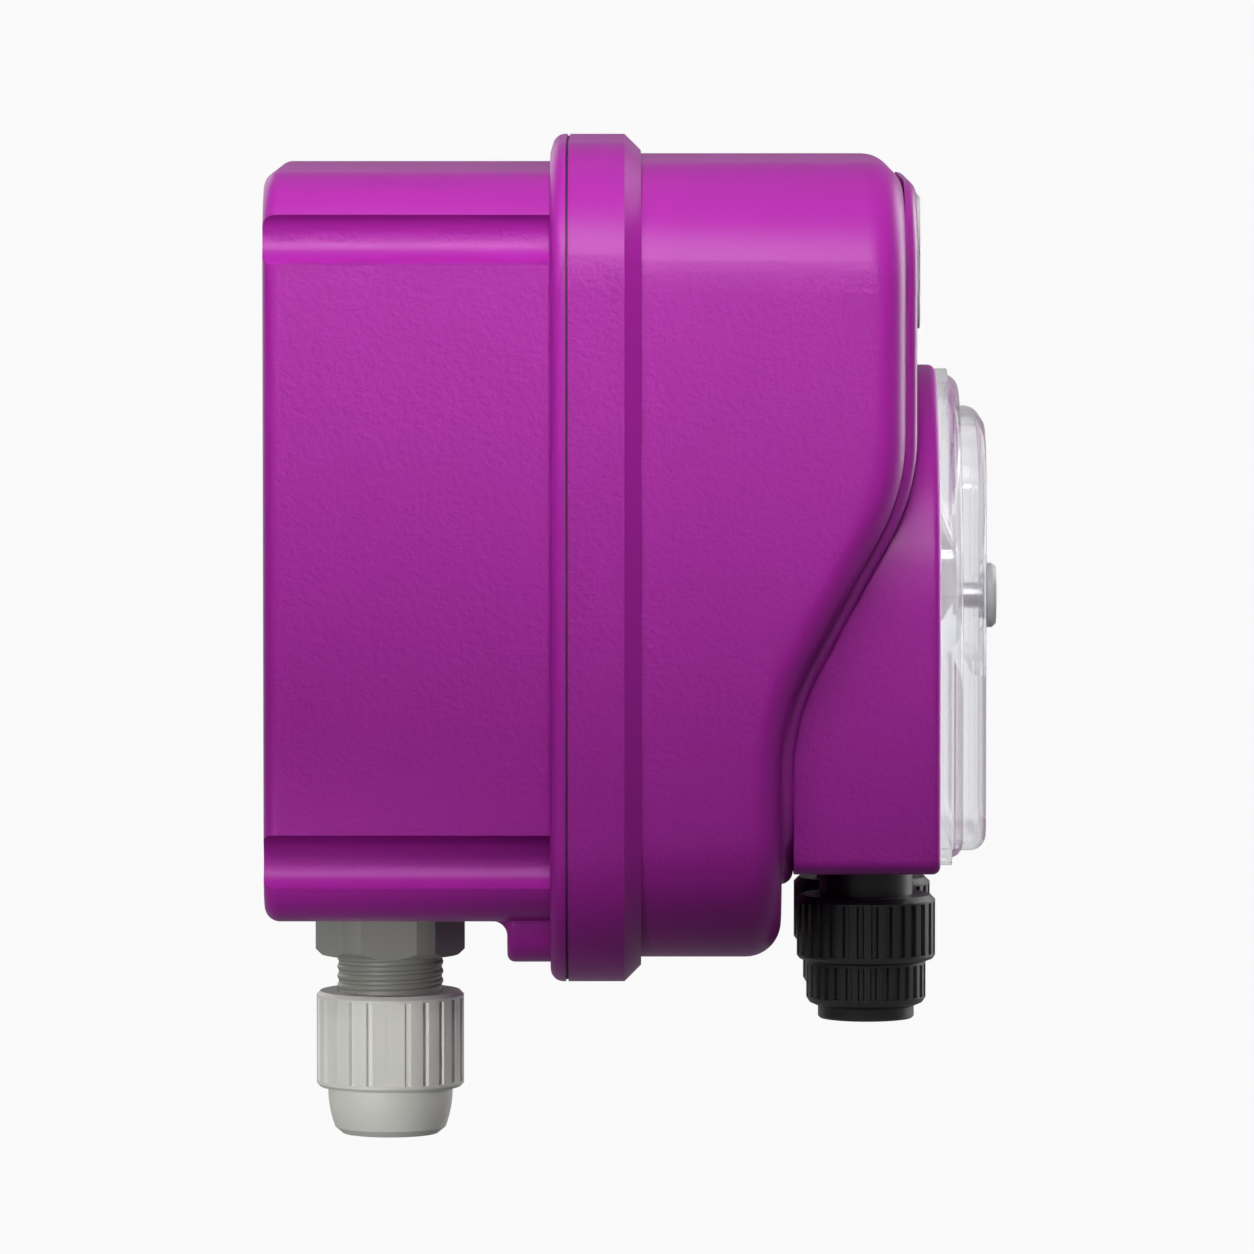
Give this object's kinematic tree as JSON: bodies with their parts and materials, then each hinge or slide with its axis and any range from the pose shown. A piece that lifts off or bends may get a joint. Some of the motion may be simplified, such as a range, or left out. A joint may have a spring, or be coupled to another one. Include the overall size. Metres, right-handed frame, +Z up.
{
  "type": "peristaltic dosing pump",
  "caption": "Wall-mounted peristaltic dosing pump: two-part moulded casing, roller pump head under a clear cover, hose nuts below and a cable gland.",
  "frame": {"origin": "centre of the flat rear face that lies against the wall, on the pump's mid-plane", "axes": "+X forwards away from the wall, +Y across to the left side as seen from the front, +Z up"},
  "size_m": [0.1146, 0.098, 0.158],
  "materials": {
    "magenta_plastic": "fine moulded grain",
    "purple_head": "fine moulded grain",
    "panel_grey": "satin overlay",
    "clear_cover": "clear moulded",
    "black_plastic": "moulded ribs",
    "grey_plastic": "satin",
    "white_plastic": "satin",
    "light_grey": "satin",
    "dark_rubber": "matt",
    "tube_rubber": "matt translucent",
    "steel": "turned",
    "motor_steel": "zinc plated",
    "brass_gear": "cut",
    "nylon": "natural nylon",
    "board_green": "lacquered",
    "green_lens": "clear tinted"
  },
  "bodies": {
    "housing": {"rear_casing": "magenta_plastic", "casing_gasket": "dark_rubber", "front_casing": "magenta_plastic", "front_panel": "magenta_plastic", "panel_label": "panel_grey", "pump_head": "purple_head", "pump_tube": "tube_rubber", "shaft_bearing": "nylon", "head_screws": "steel", "casing_screws": "steel", "suction_connector": "black_plastic", "discharge_connector": "black_plastic", "gland_body": "grey_plastic", "gland_washer": "dark_rubber", "gland_locknut": "grey_plastic", "gland_seal": "dark_rubber", "gearbox_case": "nylon", "gearbox_plate": "nylon", "gearbox_screws": "steel", "motor": "motor_steel", "motor_endcap": "black_plastic", "control_board": "board_green", "board_screws": "steel", "potentiometer": "black_plastic", "status_light": "green_lens", "terminal_block": "black_plastic"},
    "cover": {"head_cover": "clear_cover", "cover_bush": "light_grey"},
    "rotor": {"drive_shaft": "steel", "rotor": "black_plastic", "rotor_cap": "white_plastic", "roller_pins": "steel", "output_gear": "nylon"},
    "roller_1": {"roller_1": "nylon"},
    "roller_2": {"roller_2": "nylon"},
    "roller_3": {"roller_3": "nylon"},
    "motor_rotor": {"motor_shaft": "steel", "motor_pinion": "brass_gear"},
    "suction_nut": {"suction_nut": "black_plastic", "suction_ferrule": "nylon"},
    "discharge_nut": {"discharge_nut": "black_plastic", "discharge_ferrule": "nylon"},
    "gland_nut": {"gland_nut": "grey_plastic"},
    "dial": {"adjust_dial": "light_grey"}
  },
  "joints": [
    {"name": "rotor_spin", "type": "hinge", "parent": "housing", "child": "rotor", "pos_m": [0.094, 0, -0.0099], "axis": [1, 0, 0], "continuous": true},
    {"name": "motor_spin", "type": "hinge", "parent": "housing", "child": "motor_rotor", "pos_m": [0.06, 0, 0.0141], "axis": [1, 0, 0], "continuous": true},
    {"name": "cover_pull", "type": "slide", "parent": "housing", "child": "cover", "axis": [1, 0, 0], "range_m": [0, 0.03]},
    {"name": "suction_nut_turn", "type": "hinge", "parent": "housing", "child": "suction_nut", "pos_m": [0.0938, -0.015, -0.066], "axis": [0, 0, 1], "continuous": true},
    {"name": "discharge_nut_turn", "type": "hinge", "parent": "housing", "child": "discharge_nut", "pos_m": [0.0938, 0.015, -0.066], "axis": [0, 0, 1], "continuous": true},
    {"name": "gland_nut_turn", "type": "hinge", "parent": "housing", "child": "gland_nut", "pos_m": [0.0186, 0, -0.084], "axis": [0, 0, 1], "continuous": true},
    {"name": "dial_turn", "type": "hinge", "parent": "housing", "child": "dial", "pos_m": [0.0995, -0.017, 0.04375], "axis": [1, 0, 0], "range_deg": [-135, 135]},
    {"name": "roller_1_spin", "type": "hinge", "parent": "rotor", "child": "roller_1", "pos_m": [0.0937, 0, 0.0086], "axis": [1, 0, 0], "continuous": true},
    {"name": "roller_2_spin", "type": "hinge", "parent": "rotor", "child": "roller_2", "pos_m": [0.0937, -0.01602, -0.01915], "axis": [1, 0, 0], "continuous": true},
    {"name": "roller_3_spin", "type": "hinge", "parent": "rotor", "child": "roller_3", "pos_m": [0.0937, 0.01602, -0.01915], "axis": [1, 0, 0], "continuous": true}
  ],
  "couplings": [
    {"joint": "motor_spin", "follows": "rotor_spin", "ratio": -3.2857},
    {"joint": "roller_1_spin", "follows": "rotor_spin", "ratio": -4.0833},
    {"joint": "roller_2_spin", "follows": "rotor_spin", "ratio": -4.0833},
    {"joint": "roller_3_spin", "follows": "rotor_spin", "ratio": -4.0833}
  ]
}
